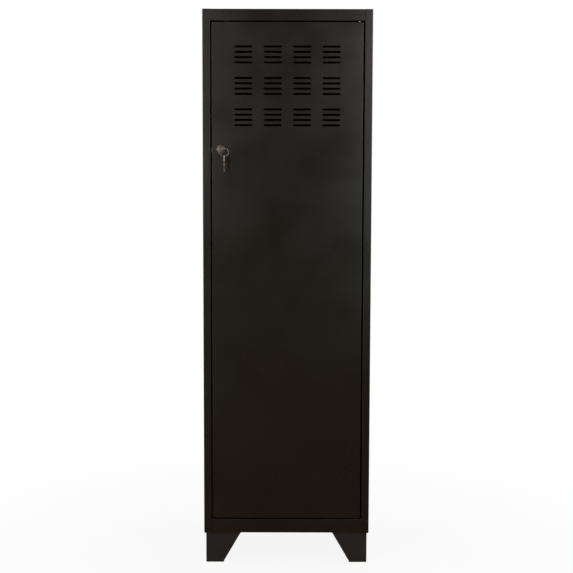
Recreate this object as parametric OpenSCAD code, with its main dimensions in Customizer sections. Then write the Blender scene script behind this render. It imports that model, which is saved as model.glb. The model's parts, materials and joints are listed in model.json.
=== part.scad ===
// Single-door steel locker on four folded feet.
// The floor is Z 0 and the door faces -Y. X 0 is the middle of the width.
// Y 0 is halfway between the back and the key hanging in front of the door.

/* [Cabinet] */
// Width across the two side panels
body_w = 500; // [420:5:600]
// Depth from the face of the door to the back
body_d = 450; // [375:5:540]
// Height of the steel body above its feet
body_h = 1567; // [1350:1:1880]
// Thickness of the body and door sheet
sheet = 1; // [0.8:0.1:1.2]
// Outer radius of the folds
bend_r = 2; // [1.6:0.1:3]
// Outer radius of the fold along the foot of each side panel
base_bend_r = 4; // [2:0.5:5]
// Width of the flange turned in along the foot of each side panel
base_flange_w = 26; // [24:1:40]
// Width of the flanges that hold the back panel
back_flange_w = 12; // [11:0.5:20]
// Width of the weld lips round the top and the floor
weld_lip_w = 15; // [10:1:20]

/* [Front frame] */
// Width of each upright stile
stile_w = 23; // [20:0.5:30]
// Height of the rail above the door
top_rail_h = 34; // [24:1:50]
// Height of the rail below the door
bottom_rail_h = 43; // [30:1:60]
// Width of the lip that the door closes against
stop_lip_w = 10; // [9:0.5:12]

/* [Door] */
// Gap round the closed door
door_gap = 4; // [3.5:0.5:6]
// Thickness of the folded door
door_t = 18; // [16:0.5:22]
// Width of the lip turned in round the back of the door
door_lip_w = 9; // [6:0.5:10]
// Width of the stiffener's raised channel
stiffener_w = 40; // [25:1:60]
// Depth of the stiffener's raised channel
stiffener_d = 11; // [8:0.5:13]
// Width of each welding flange of the stiffener
stiffener_flange_w = 14; // [8:1:20]
// Distance from the stiffener's ends to the door's foot and to the lowest vent
stiffener_end_gap = 35; // [20:1:80]

/* [Vents] */
// Length of one slot
slot_l = 52.5; // [30:0.5:60]
// Width of one slot
slot_w = 6.3; // [4:0.1:8]
// Pitch of the slots in a group
slot_pitch = 15.4; // [12:0.1:20]
// Slots in a group
slots_per_group = 4; // [2:1:4]
// Pitch of the groups down the door
group_pitch_z = 91.2; // [85:0.1:110]
// Pitch of the groups across the door
group_pitch_x = 86.2; // [70:0.1:90]
// Groups down the door
group_rows = 3; // [1:1:3]
// Groups across the door
group_columns = 4; // [1:1:4]
// Distance from the top of the door to the highest slot
vent_drop = 70.6; // [40:0.1:80]

/* [Hinge] */
// Distance of the pivot from the edge of the door
hinge_inset = 12; // [10:0.5:14]
// Distance of the hinge pins' heads behind the face of the door
hinge_setback = 2; // [1.5:0.25:4]
// Radius of the hinge pins
hinge_pin_r = 3; // [2.5:0.1:3.6]
// Wall of the hinge bushes
hinge_bush_wall = 1.5; // [1:0.25:2]
// Depth that the pins reach into the door
hinge_pin_reach = 12; // [8:1:20]

/* [Lock] */
// Distance of the lock from the edge of the door
lock_inset = 27; // [26:0.5:32]
// Distance of the lock from the top of the door
lock_drop = 370; // [360:1:600]
// Radius of the lock's face
lock_face_r = 12.5; // [11:0.5:14]
// Projection of the lock's face from the door
lock_face_t = 3; // [2:0.5:5]
// Radius of the threaded barrel
lock_barrel_r = 9.5; // [9:0.25:10]
// Width of the barrel across its two flats
lock_flats_w = 16; // [15:0.25:17]
// Radius of the turning plug
lock_plug_r = 6.5; // [6:0.25:7]
// Width of the lock nut across its flats
lock_nut_w = 23; // [22:0.5:24]
// Thickness of the lock nut
lock_nut_t = 5; // [3:0.5:6]
// Reach of the cam from the lock's centre to its tip
cam_reach = 26; // [24.5:0.5:27]
// Width of the cam
cam_w = 15; // [12:0.5:16]
// Thickness of the cam
cam_t = 2; // [1.5:0.25:3]
// Height of the strike plate
strike_h = 16; // [14:1:30]

/* [Keys] */
// Overall length of a key
key_l = 51; // [48:0.5:56]
// Length of the blade that enters the lock
key_blade_l = 21; // [18:0.5:22]
// Width of the blade
key_blade_w = 7.8; // [7:0.1:8.5]
// Thickness of a key
key_t = 2; // [1.8:0.1:2.2]
// Width of the bow
key_bow_w = 25; // [23:0.5:28]
// Depth of the bow along the key
key_bow_l = 25; // [22:0.5:27]
// Width of the bow's strip outside the ring slot
key_strip_w = 2.4; // [2:0.1:2.6]
// Width of the ring slot in the bow
key_slot_w = 5; // [4.5:0.25:6]
// Mean radius of the key ring
ring_r = 12; // [11.5:0.25:14]
// Diameter of the key ring's wire
ring_wire_d = 1.6; // [1.4:0.1:1.8]

/* [Inside] */
// Distance from the top of the body to the shelf
shelf_drop = 258; // [240:1:300]
// Distance of the shelf behind the face of the door
shelf_setback = 34; // [32:1:80]
// Height of the folded edges of the shelf
shelf_edge_h = 20; // [14:1:30]
// Width of each leg of the shelf brackets
bracket_w = 20; // [14:1:25]
// Distance from the top of the shelf down to the middle of the hanging rail
rail_drop = 65; // [60:1:90]
// Radius of the hanging rail
rail_r = 10; // [8:0.5:12.5]
// Wall of the hanging rail
rail_wall = 1; // [0.8:0.1:1.5]
// Distance between the two wall-fixing holes
wall_hole_pitch = 300; // [200:10:350]
// Radius of the wall-fixing holes
wall_hole_r = 4; // [3:0.5:5]
// Distance from the top of the body to the wall-fixing holes
wall_hole_drop = 45; // [40:1:100]

/* [Feet] */
// Height of the feet with their glides
foot_h = 92; // [70:1:120]
// Distance of the feet inside the faces of the body
foot_inset = 5.4; // [4.5:0.1:9]
// Width of a foot at its top
foot_top_w = 105.6; // [90:0.1:120]
// Width of a foot at its base
foot_base_w = 53.8; // [40:0.1:70]
// Thickness of the foot's plate
foot_t = 2; // [1.5:0.1:2.5]
// Outer radius of the foot's corner
foot_bend_r = 4; // [3:0.5:6]
// Thickness of the glide under each foot
glide_t = 3; // [2:0.5:5]
// Radius of the foot bolts
foot_bolt_r = 3; // [2.5:0.25:4]
// Length of the open wedge above the front right foot
foot_wedge_l = 29; // [15:1:40]
// Height of the open wedge above the front right foot
foot_wedge_h = 3.2; // [2:0.1:4]

/* [Clearances] */
// Radial clearance of the hinge pins and the lock plug
running_fit = 0.06; // [0.02:0.01:0.1]
// Clearance between parts that move past each other
moving_gap = 0.3; // [0.3:0.05:0.5]
// Radial clearance round a fastener
bolt_fit = 0.1; // [0.05:0.05:0.25]
// Clearance at the ends of pieces that drop into the body
drop_in_fit = 0.5; // [0.25:0.25:1]
// Thickness of the rubber buffers
buffer_t = 2.5; // [2:0.25:4]

/* [Hidden] */
$fn = 48;
eps = 0.01;

// Outline
key_neck_l = key_l - key_blade_l - key_bow_l;
ring_setback = key_strip_w + key_slot_w;
ring_reach = lock_face_t + moving_gap + key_neck_l + key_bow_l - ring_setback;
front_reach = ring_reach + key_bow_w / 2;
front_y = (front_reach - body_d) / 2;
back_y = front_y + body_d;
base_z = foot_h;
top_z = base_z + body_h;
half_w = body_w / 2;
inner_r = bend_r - sheet;

// Levels inside the body
floor_z = base_z + sheet;
floor_top_z = floor_z + sheet;
ceiling_z = top_z - sheet;
back_face_y = back_y - 2 * sheet;
shelf_z = top_z - shelf_drop;
rail_z = shelf_z - rail_drop;
rail_y = (front_y + back_y) / 2;

// Door and its opening
opening_half_w = half_w - stile_w;
door_half_w = opening_half_w - door_gap;
sill_z = base_z + bottom_rail_h;
head_z = top_z - top_rail_h;
door_bottom = sill_z + door_gap;
door_top = head_z - door_gap;
door_h = door_top - door_bottom;
stop_y = front_y + door_t + moving_gap + buffer_t;
return_d = stop_y + sheet - front_y;
vent_top = door_top - vent_drop;
vent_h = (group_rows - 1) * group_pitch_z + (slots_per_group - 1) * slot_pitch;
vent_bottom = vent_top - vent_h - slot_w / 2;

// Hinge
hinge_x = door_half_w - hinge_inset;
pin_head_r = 2 * hinge_pin_r;
hinge_y = front_y + hinge_setback + pin_head_r;
bush_r = hinge_pin_r + running_fit + hinge_bush_wall;
bush_flange_r = bush_r + 1.5;
bush_flange_t = 1.5;
hinge_bush_l = 8;
pin_head_t = 3;

// Lock
lock_x = -door_half_w + lock_inset;
lock_z = door_top - lock_drop;
strike_t = 0.8;
cam_y = stop_y + sheet + strike_t + 0.7;
barrel_end_y = cam_y - moving_gap;
plug_boss_w = 7;
cam_screw_r = 2;
cam_screw_l = 6;
keyway_w = key_blade_w + 2 * moving_gap;
keyway_h = key_t + 2 * moving_gap;
plug_face_y = front_y - lock_face_t + 0.4;

// Keys and ring
key_shoulder_y = front_y - lock_face_t - moving_gap;
ring_x = lock_x + key_bow_w / 2 - key_strip_w / 2;
ring_y = front_y - ring_reach;
strip_corner_r = norm([key_strip_w, key_t]) / 2;
ring_z = lock_z - (ring_r - ring_wire_d / 2 - strip_corner_r - moving_gap);
ring_bottom_z = ring_z - ring_r;
key_bow_r = 8;
bitting = [0.5, 0.9, 0.3, 0.7];
bitting_start = 4;
bitting_pitch = 3.6;

// Fasteners
rivet_r = 2;
rivet_head_r = 3.5;
rivet_head_h = 1.2;
back_rivet_rows = 7;
back_rivet_margin = 60;
bolt_head_r = 2 * foot_bolt_r;
foot_nut_r = 1.9 * foot_bolt_r;
foot_nut_t = 1.6 * foot_bolt_r;
foot_bolt_x = foot_inset + foot_t + foot_nut_r + 2;
foot_bolt_steps = [24, 78];
foot_plate_h = foot_h - glide_t;
foot_bolt_end_z = base_z - foot_t - foot_nut_t - 1.5;

// Door stops
buffer_r = 4;
buffer_margin = 150;
stop_x = -door_half_w + 45;
stop_w = 13;
stop_t = 1.2;
stop_drop = 22;
stop_tab_setback = 1.5;
stop_rivet_y = front_y + 6;

// Inside
shelf_front_y = front_y + shelf_setback;
bracket_t = 1.5;
socket_flange_t = 2;
socket_depth = 14;

// Colours
coat = [0.10, 0.095, 0.095];
dark_coat = [0.07, 0.065, 0.065];
zinc = [0.72, 0.72, 0.70];
nickel = [0.80, 0.78, 0.74];
nylon = [0.12, 0.12, 0.12];
rubber = [0.05, 0.05, 0.05];

// ---- shapes used by several parts ----

// A box between two corners
module block(low, high) {
    translate(low) cube(high - low);
}

// A rectangle with its low corner at the origin and rounded corners
module soft_rect(w, h, r) {
    translate([r, 0]) square([w - 2 * r, h]);
    translate([0, r]) square([w, h - 2 * r]);
    for (x = [r, w - r], y = [r, h - r]) translate([x, y]) circle(r);
}

// The wall of a folded box section, seen along the fold
module fold_section(w, h, r) {
    difference() {
        soft_rect(w, h, r);
        translate([sheet, sheet]) soft_rect(w - 2 * sheet, h - 2 * sheet, r - sheet);
    }
}

// Draws a section given as [Y, Z] and runs it along X
module along_x(x0, x1) {
    translate([x0, 0, 0]) rotate([90, 0, 90]) linear_extrude(x1 - x0) children();
}

// Draws a section given as [X, Z] and runs it along Y
module along_y(y0, y1) {
    translate([0, y1, 0]) rotate([90, 0, 0]) linear_extrude(y1 - y0) children();
}

// A round bar that points along +Y
module bar_y(r, y0, y1) {
    translate([0, y1, 0]) rotate([90, 0, 0]) cylinder(r = r, h = y1 - y0);
}

module both_sides() {
    children();
    mirror([1, 0, 0]) children();
}

// ---- body shell ----

// The left side: wall, stile and back flange, with a flange under the floor
module side_panel(lip) {
    difference() {
        intersection() {
            translate([-half_w, front_y, base_z]) linear_extrude(body_h) {
                difference() {
                    fold_section(stile_w, body_d, bend_r);
                    translate([back_flange_w, return_d]) square([stile_w, body_d]);
                }
                if (lip) translate([stile_w - sheet, return_d - sheet]) square([stop_lip_w + sheet, sheet]);
            }
            along_y(front_y - 1, back_y + 1)
                translate([-half_w, base_z]) soft_rect(body_w, 2 * body_h, base_bend_r);
        }
        block([-half_w + sheet, front_y + sheet, ceiling_z], [0, back_y + 1, top_z + 1]);
        block([-half_w + sheet, front_y + sheet, base_z - 1], [0, back_y + 1, floor_top_z]);
        block([-opening_half_w, front_y - 1, head_z], [0, back_y, top_z + 1]);
        block([-opening_half_w, front_y - 1, base_z - 1], [0, back_y, sill_z]);
    }
    along_y(front_y + sheet, back_y) translate([-half_w, base_z]) intersection() {
        fold_section(body_w, body_h, base_bend_r);
        square([base_flange_w, base_bend_r]);
    }
}

module back_rivet_places() {
    flange_x = half_w - (back_flange_w + sheet) / 2;
    lip_step = (weld_lip_w + sheet) / 2;
    pitch_z = (body_h - 2 * back_rivet_margin) / (back_rivet_rows - 1);
    for (x = [-flange_x, flange_x], i = [0:back_rivet_rows - 1])
        translate([x, back_y, base_z + back_rivet_margin + i * pitch_z]) children();
    for (x = [-body_w / 4, body_w / 4], z = [floor_z + lip_step, top_z - lip_step])
        translate([x, back_y, z]) children();
}

module back_rivet_holes() {
    back_rivet_places() bar_y(rivet_r + bolt_fit, -4 * sheet, 1);
}

module foot_bolt_places() {
    both_sides() for (step = foot_bolt_steps) {
        translate([-half_w + foot_bolt_x, front_y + foot_inset + step, 0]) children();
        translate([-half_w + foot_bolt_x, back_y - foot_inset - step, 0]) children();
    }
}

module foot_bolt_holes() {
    foot_bolt_places() translate([0, 0, base_z - 2 * foot_t])
        cylinder(r = foot_bolt_r + bolt_fit, h = 4 * foot_t);
}

module left_side_panel() {
    color(coat) difference() {
        side_panel(true);
        back_rivet_holes();
        foot_bolt_holes();
    }
}

module right_side_panel() {
    color(coat) difference() {
        mirror([1, 0, 0]) side_panel(false);
        back_rivet_holes();
        foot_bolt_holes();
    }
}

// A pan that closes one end of the body, drawn with its outer face on Z 0.
// Its front edge is the rail beside the door, which turns back behind the opening.
module closing_pan(rail_h, edge_x) {
    along_x(-opening_half_w, opening_half_w) translate([front_y, 0]) intersection() {
        fold_section(2 * body_d, rail_h, bend_r);
        square([return_d, rail_h]);
    }
    block([-edge_x, front_y + bend_r, 0], [edge_x, back_y - bend_r, sheet]);
    lip_x = half_w - back_flange_w;
    along_x(-lip_x, lip_x) translate([back_y, 0]) mirror([1, 0]) intersection() {
        fold_section(body_d, body_h, bend_r);
        square(weld_lip_w);
    }
}

module top_panel() {
    color(coat) difference() {
        union() {
            translate([0, 0, top_z]) mirror([0, 0, 1]) closing_pan(top_rail_h, half_w - sheet);
            both_sides() block([-half_w + sheet, front_y + return_d + sheet, top_z - weld_lip_w],
                [-half_w + 2 * sheet, back_face_y - sheet, top_z]);
        }
        back_rivet_holes();
        translate([hinge_x, hinge_y, head_z - 1]) cylinder(r = hinge_pin_r + bolt_fit, h = sheet + 2);
        translate([stop_x, stop_rivet_y, head_z - 1]) cylinder(r = rivet_r + bolt_fit, h = sheet + 2);
    }
}

module floor_panel() {
    color(coat) difference() {
        translate([0, 0, floor_z]) closing_pan(sill_z - floor_z, half_w - base_bend_r);
        back_rivet_holes();
        foot_bolt_holes();
        translate([hinge_x, hinge_y, sill_z - sheet - 1]) cylinder(r = hinge_pin_r + bolt_fit, h = sheet + 2);
    }
}

module back_panel() {
    edge_x = half_w - bend_r;
    color(coat) difference() {
        block([-edge_x, back_face_y, floor_top_z + inner_r], [edge_x, back_y - sheet, ceiling_z - inner_r]);
        back_rivet_holes();
        for (x = [-wall_hole_pitch / 2, wall_hole_pitch / 2])
            translate([x, 0, top_z - wall_hole_drop]) bar_y(wall_hole_r, back_face_y - 1, back_y);
    }
}

// A low round head whose flat side lies on Z 0
module domed_head(r, h) {
    ball_r = (r * r + h * h) / (2 * h);
    intersection() {
        translate([0, 0, h - ball_r]) sphere(ball_r);
        cylinder(r = r, h = h);
    }
}

// A closed blind rivet through a stack, with its outer head on Z 0 and the stack below
module rivet(stack) {
    domed_head(rivet_head_r, rivet_head_h);
    translate([0, 0, -stack - eps]) cylinder(r = rivet_r, h = stack + 2 * eps);
    translate([0, 0, -stack]) mirror([0, 0, 1]) domed_head(rivet_head_r, rivet_head_h);
}

module back_rivets() {
    color(coat) back_rivet_places() rotate([-90, 0, 0]) rivet(2 * sheet);
}

// ---- inside the body ----

module hat_shelf() {
    edge_x = half_w - sheet - drop_in_fit;
    shelf_d = back_face_y - drop_in_fit - shelf_front_y;
    color(coat) {
        along_x(-edge_x, edge_x) translate([shelf_front_y, shelf_z]) mirror([0, 1]) intersection() {
            fold_section(shelf_d, body_h, bend_r);
            square([shelf_d, shelf_edge_h]);
        }
        both_sides() block([-edge_x, shelf_front_y + bend_r, shelf_z - shelf_edge_h],
            [-edge_x + sheet, shelf_front_y + shelf_d - bend_r, shelf_z - sheet / 2]);
    }
}

module shelf_bracket() {
    seat_z = shelf_z - shelf_edge_h;
    wall_x = -half_w + sheet;
    y0 = shelf_front_y + bracket_w / 2;
    y1 = back_face_y - bracket_w / 2;
    block([wall_x, y0, seat_z - bracket_w], [wall_x + bracket_t, y1, seat_z]);
    block([wall_x, y0, seat_z - bracket_t], [wall_x + bracket_w, y1, seat_z]);
}

module left_shelf_bracket() {
    color(coat) shelf_bracket();
}

module right_shelf_bracket() {
    color(coat) mirror([1, 0, 0]) shelf_bracket();
}

module hanging_rail() {
    end_x = half_w - sheet - socket_flange_t - drop_in_fit;
    color(zinc) translate([-end_x, rail_y, rail_z]) rotate([0, 90, 0]) difference() {
        cylinder(r = rail_r, h = 2 * end_x);
        translate([0, 0, -1]) cylinder(r = rail_r - rail_wall, h = 2 * end_x + 2);
    }
}

// A round plate on the side wall with a cup, open at the top, that the rail drops into
module rail_socket() {
    cup_r = rail_r + bolt_fit;
    translate([-half_w + sheet, rail_y, rail_z]) rotate([0, 90, 0]) {
        cylinder(r = cup_r + 2 * socket_flange_t + 4, h = socket_flange_t);
        difference() {
            cylinder(r = cup_r + socket_flange_t, h = socket_depth);
            translate([0, 0, socket_flange_t]) cylinder(r = cup_r, h = socket_depth);
            translate([-2 * cup_r, -cup_r, socket_flange_t]) cube([2 * cup_r, 2 * cup_r, socket_depth]);
        }
    }
}

module left_rail_socket() {
    color(zinc) rail_socket();
}

module right_rail_socket() {
    color(zinc) mirror([1, 0, 0]) rail_socket();
}

// ---- what the door closes against ----

// A clip round the stop lip that the cam slides behind
module strike_plate() {
    color(zinc) translate([0, 0, lock_z - strike_h / 2]) linear_extrude(strike_h) difference() {
        translate([-opening_half_w, stop_y - strike_t])
            square([stop_lip_w + strike_t, sheet + 2 * strike_t]);
        translate([-opening_half_w - 1, stop_y]) square([stop_lip_w + 1, sheet]);
    }
}

// A bent tab under the top rail that the door's corner closes against
module upper_stop() {
    color(coat) difference() {
        along_x(stop_x - stop_w / 2, stop_x + stop_w / 2) {
            translate([front_y + stop_tab_setback, head_z - stop_t])
                square([return_d - stop_tab_setback + stop_t, stop_t]);
            translate([front_y + return_d, head_z - stop_drop]) square([stop_t, stop_drop]);
        }
        translate([stop_x, stop_rivet_y, head_z - stop_t - 1])
            cylinder(r = rivet_r + bolt_fit, h = stop_t + 2);
    }
}

module stop_rivet() {
    color(zinc) translate([stop_x, stop_rivet_y, head_z + sheet]) rivet(sheet + stop_t);
}

module door_buffers() {
    pad_x = -door_half_w + door_lip_w / 2;
    color(rubber) {
        for (z = [door_bottom + buffer_margin, door_top - buffer_margin])
            translate([pad_x, 0, z]) bar_y(buffer_r, stop_y - buffer_t, stop_y);
        translate([stop_x, 0, head_z - stop_drop + buffer_r])
            bar_y(buffer_r, stop_y - buffer_t, front_y + return_d);
    }
}

// ---- hinge ----

// A headed pin: the head hangs below Z 0 and the shank rises
module hinge_pin(shank) {
    tip = hinge_pin_r / 3;
    translate([0, 0, -pin_head_t]) cylinder(r = pin_head_r, h = pin_head_t);
    translate([0, 0, -eps]) cylinder(r = hinge_pin_r, h = shank - tip + eps);
    translate([0, 0, shank - tip]) cylinder(r1 = hinge_pin_r, r2 = hinge_pin_r - tip, h = tip);
}

module lower_hinge_pin() {
    color(zinc) translate([hinge_x, hinge_y, sill_z - sheet]) hinge_pin(sheet + door_gap + hinge_pin_reach);
}

module upper_hinge_pin() {
    color(zinc) translate([hinge_x, hinge_y, head_z + sheet]) mirror([0, 0, 1])
        hinge_pin(sheet + door_gap + hinge_pin_reach);
}

module hinge_washer() {
    washer_t = door_gap - bush_flange_t - moving_gap;
    color(nylon) translate([hinge_x, hinge_y, sill_z]) difference() {
        cylinder(r = bush_flange_r, h = washer_t);
        translate([0, 0, -1]) cylinder(r = hinge_pin_r + running_fit, h = washer_t + 2);
    }
}

// A flanged bush: its flange hangs below Z 0 and its sleeve rises
module hinge_bush() {
    difference() {
        union() {
            translate([0, 0, -bush_flange_t]) cylinder(r = bush_flange_r, h = bush_flange_t);
            translate([0, 0, -eps]) cylinder(r = bush_r, h = hinge_bush_l + eps);
        }
        translate([0, 0, -bush_flange_t - 1]) cylinder(r = hinge_pin_r + running_fit, h = hinge_bush_l + 5);
    }
}

module lower_hinge_bush() {
    color(nylon) translate([hinge_x, hinge_y, door_bottom]) hinge_bush();
}

module upper_hinge_bush() {
    color(nylon) translate([hinge_x, hinge_y, door_top]) mirror([0, 0, 1]) hinge_bush();
}

// ---- feet ----

// The flat outline of a foot's end plate, w along each leg
module foot_plate(w) {
    intersection() {
        soft_rect(2 * w, 2 * w, foot_bend_r);
        polygon([[0, 0], [w, 0], [w, w / 3], [w / 3, w], [0, w]]);
    }
}

// Cuts the slope of one leg, seen square on, through that leg's plate only
module foot_slope() {
    translate([0, foot_t + eps, 0]) rotate([90, 0, 0]) linear_extrude(foot_t + 1 + eps)
        polygon([[foot_base_w, -1], [foot_base_w, 0], [foot_top_w, foot_plate_h],
            [2 * foot_top_w, foot_plate_h], [2 * foot_top_w, -1]]);
}

// A foot bent from plate, with its outer corner on the Z axis and its legs along +X and +Y
module foot() {
    difference() {
        linear_extrude(foot_plate_h) intersection() {
            difference() {
                soft_rect(3 * foot_top_w, 3 * foot_top_w, foot_bend_r);
                translate([foot_t, foot_t])
                    soft_rect(3 * foot_top_w, 3 * foot_top_w, foot_bend_r - foot_t);
            }
            square(foot_top_w);
        }
        foot_slope();
        mirror([1, -1, 0]) foot_slope();
    }
    translate([0, 0, foot_plate_h - foot_t]) linear_extrude(foot_t) foot_plate(foot_top_w);
    linear_extrude(foot_t) foot_plate(foot_base_w);
}

module at_front_left() {
    translate([-half_w + foot_inset, front_y + foot_inset, glide_t]) children();
}

module at_rear_left() {
    translate([-half_w + foot_inset, back_y - foot_inset, glide_t]) mirror([0, 1, 0]) children();
}

module front_left_foot() {
    color(dark_coat) difference() {
        at_front_left() foot();
        foot_bolt_holes();
    }
}

// This foot doesn't close against the body at its outer corner: a thin wedge stays open
module front_right_foot() {
    wedge_d = foot_bend_r + 4 * foot_t;
    color(dark_coat) difference() {
        mirror([1, 0, 0]) at_front_left() difference() {
            foot();
            translate([0, wedge_d, foot_plate_h]) rotate([90, 0, 0]) linear_extrude(wedge_d + 1)
                polygon([[-1, 1], [-1, -foot_wedge_h], [0, -foot_wedge_h], [foot_wedge_l, 0],
                    [foot_wedge_l, 1]]);
        }
        foot_bolt_holes();
    }
}

module rear_left_foot() {
    color(dark_coat) difference() {
        at_rear_left() foot();
        foot_bolt_holes();
    }
}

module rear_right_foot() {
    color(dark_coat) difference() {
        mirror([1, 0, 0]) at_rear_left() foot();
        foot_bolt_holes();
    }
}

module foot_bolts() {
    color(zinc) foot_bolt_places() {
        translate([0, 0, floor_top_z]) domed_head(bolt_head_r, foot_bolt_r);
        translate([0, 0, foot_bolt_end_z]) cylinder(r = foot_bolt_r, h = floor_top_z + eps - foot_bolt_end_z);
    }
}

module foot_nuts() {
    color(zinc) foot_bolt_places() translate([0, 0, base_z - foot_t - foot_nut_t]) difference() {
        cylinder(r = foot_nut_r, h = foot_nut_t, $fn = 6);
        translate([0, 0, -1]) cylinder(r = foot_bolt_r + bolt_fit, h = foot_nut_t + 2);
    }
}

module foot_glides() {
    color(rubber) both_sides() {
        at_front_left() mirror([0, 0, 1]) linear_extrude(glide_t) foot_plate(foot_base_w);
        at_rear_left() mirror([0, 0, 1]) linear_extrude(glide_t) foot_plate(foot_base_w);
    }
}

// ---- door ----

// The outside of the door, or with an inset the hollow inside it
module door_block(inset) {
    r = bend_r - inset;
    intersection() {
        translate([-door_half_w + inset, front_y + inset, door_bottom + inset])
            linear_extrude(door_h - 2 * inset) soft_rect(2 * (door_half_w - inset), door_t - 2 * inset, r);
        along_x(-door_half_w, door_half_w) translate([front_y + inset, door_bottom + inset])
            soft_rect(door_t - 2 * inset, door_h - 2 * inset, r);
    }
}

// One vent slot, centred, with round ends
module slot_shape() {
    square([slot_l - slot_w, slot_w], center = true);
    for (side = [-1, 1]) translate([side * (slot_l - slot_w) / 2, 0]) circle(slot_w / 2);
}

module vent_slots() {
    for (column = [0:group_columns - 1], row = [0:group_rows - 1], i = [0:slots_per_group - 1])
        translate([(column - (group_columns - 1) / 2) * group_pitch_x,
            vent_top - row * group_pitch_z - i * slot_pitch]) slot_shape();
}

// The barrel's round section with two flats, above and below
module barrel_section(fit) {
    intersection() {
        circle(lock_barrel_r + fit);
        square([3 * lock_barrel_r, lock_flats_w + 2 * fit], center = true);
    }
}

module door_panel() {
    open_x = door_half_w - door_lip_w;
    color(coat) difference() {
        door_block(0);
        door_block(sheet);
        block([-open_x, front_y + door_t / 2, door_bottom + door_lip_w],
            [open_x, front_y + door_t + 1, door_top - door_lip_w]);
        along_y(front_y - 1, front_y + 2 * sheet) {
            vent_slots();
            translate([lock_x, lock_z]) barrel_section(bolt_fit);
        }
        translate([hinge_x, hinge_y, door_bottom - 1]) cylinder(r = bush_r + bolt_fit, h = sheet + 2);
        translate([hinge_x, hinge_y, door_top - sheet - 1]) cylinder(r = bush_r + bolt_fit, h = sheet + 2);
    }
}

// A hat-shaped channel welded behind the face of the door
module door_stiffener() {
    z0 = door_bottom + stiffener_end_gap;
    z1 = vent_bottom - stiffener_end_gap;
    color(coat) translate([0, front_y + sheet, z0]) linear_extrude(z1 - z0) {
        difference() {
            translate([-stiffener_w / 2, 0]) square([stiffener_w, stiffener_d]);
            translate([-stiffener_w / 2 + sheet, -sheet]) square([stiffener_w - 2 * sheet, stiffener_d]);
        }
        for (side = [-1, 1])
            translate([side * (stiffener_w + stiffener_flange_w - sheet) / 2, sheet / 2])
                square([stiffener_flange_w + sheet, sheet], center = true);
    }
}

// ---- lock ----

module at_lock() {
    translate([lock_x, 0, lock_z]) children();
}

module lock_barrel() {
    rim_r = lock_face_t / 3;
    color(nickel) at_lock() difference() {
        union() {
            translate([0, front_y, 0]) rotate([90, 0, 0]) rotate_extrude() intersection() {
                translate([-lock_face_r, -lock_face_t]) soft_rect(2 * lock_face_r, 2 * lock_face_t, rim_r);
                square([lock_face_r, lock_face_t]);
            }
            along_y(front_y - eps, barrel_end_y) barrel_section(0);
        }
        bar_y(lock_plug_r + running_fit, front_y - lock_face_t - 1, barrel_end_y + 1);
    }
}

module lock_nut() {
    color(zinc) at_lock() along_y(front_y + sheet, front_y + sheet + lock_nut_t) difference() {
        circle(lock_nut_w / 2 / cos(30), $fn = 6);
        circle(lock_barrel_r + bolt_fit);
    }
}

module lock_plug() {
    keyway_end_y = key_shoulder_y + key_blade_l + moving_gap;
    boss_end_y = cam_y + cam_t - bolt_fit;
    color(nickel) at_lock() difference() {
        union() {
            bar_y(lock_plug_r, plug_face_y, cam_y);
            block([-plug_boss_w / 2, cam_y - eps, -plug_boss_w / 2],
                [plug_boss_w / 2, boss_end_y, plug_boss_w / 2]);
        }
        block([-keyway_w / 2, plug_face_y - 1, -keyway_h / 2], [keyway_w / 2, keyway_end_y, keyway_h / 2]);
        bar_y(cam_screw_r + bolt_fit, cam_y + cam_t - cam_screw_l - bolt_fit, cam_y + cam_t + 1);
    }
}

module lock_cam() {
    color(zinc) at_lock() along_y(cam_y, cam_y + cam_t) difference() {
        union() {
            circle(cam_w / 2);
            translate([-cam_w / 2, -cam_reach]) soft_rect(cam_w, cam_reach, cam_t);
        }
        square(plug_boss_w + 2 * bolt_fit, center = true);
    }
}

module cam_screw() {
    color(zinc) at_lock() {
        translate([0, cam_y + cam_t, 0]) rotate([-90, 0, 0]) domed_head(plug_boss_w - 1, 1.2 * cam_screw_r);
        bar_y(cam_screw_r, cam_y + cam_t - cam_screw_l, cam_y + cam_t + eps);
    }
}

// ---- keys ----

// The outline of a key: its shoulder is on Y 0, the blade runs to +Y and the bow to -Y
module key_outline() {
    tip = key_blade_w / 4;
    slot_y = -key_neck_l - key_bow_l + ring_setback;
    slot_reach = key_bow_w / 2 - key_strip_w - key_slot_w / 2;
    difference() {
        union() {
            polygon([[-key_blade_w / 2, -eps], [key_blade_w / 2, -eps], [key_blade_w / 2, key_blade_l - tip],
                [key_blade_w / 2 - tip, key_blade_l], [-key_blade_w / 2 + tip, key_blade_l],
                [-key_blade_w / 2, key_blade_l - tip]]);
            translate([-key_blade_w / 2 - 1, -key_neck_l - 2]) square([key_blade_w + 2, key_neck_l + 2]);
            translate([-key_bow_w / 2, -key_neck_l - key_bow_l]) soft_rect(key_bow_w, key_bow_l, key_bow_r);
        }
        translate([0, slot_y]) square([2 * slot_reach, key_slot_w], center = true);
        for (side = [-1, 1]) translate([side * slot_reach, slot_y]) circle(key_slot_w / 2);
        for (i = [0:len(bitting) - 1]) for (side = [-1, 1])
            translate([side * (key_blade_w / 2 + 1 - bitting[i]), bitting_start + i * bitting_pitch])
                rotate(45) square(1.4, center = true);
    }
}

// The key lies flat, with a groove along each face of the blade
module key_blank() {
    groove_d = key_t / 5;
    difference() {
        translate([0, 0, -key_t / 2]) linear_extrude(key_t) key_outline();
        for (side = [-1, 1]) translate([side * key_blade_w / 8, key_blade_l / 2, side * key_t / 2])
            cube([key_blade_w / 6, 2 * key_blade_l, 2 * groove_d], center = true);
    }
}

module door_key() {
    color(nickel) translate([lock_x, key_shoulder_y, lock_z]) key_blank();
}

module key_ring() {
    color(nickel) translate([ring_x, ring_y, ring_z]) rotate([90, 0, 0]) rotate_extrude()
        translate([ring_r, 0]) circle(ring_wire_d / 2);
}

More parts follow.
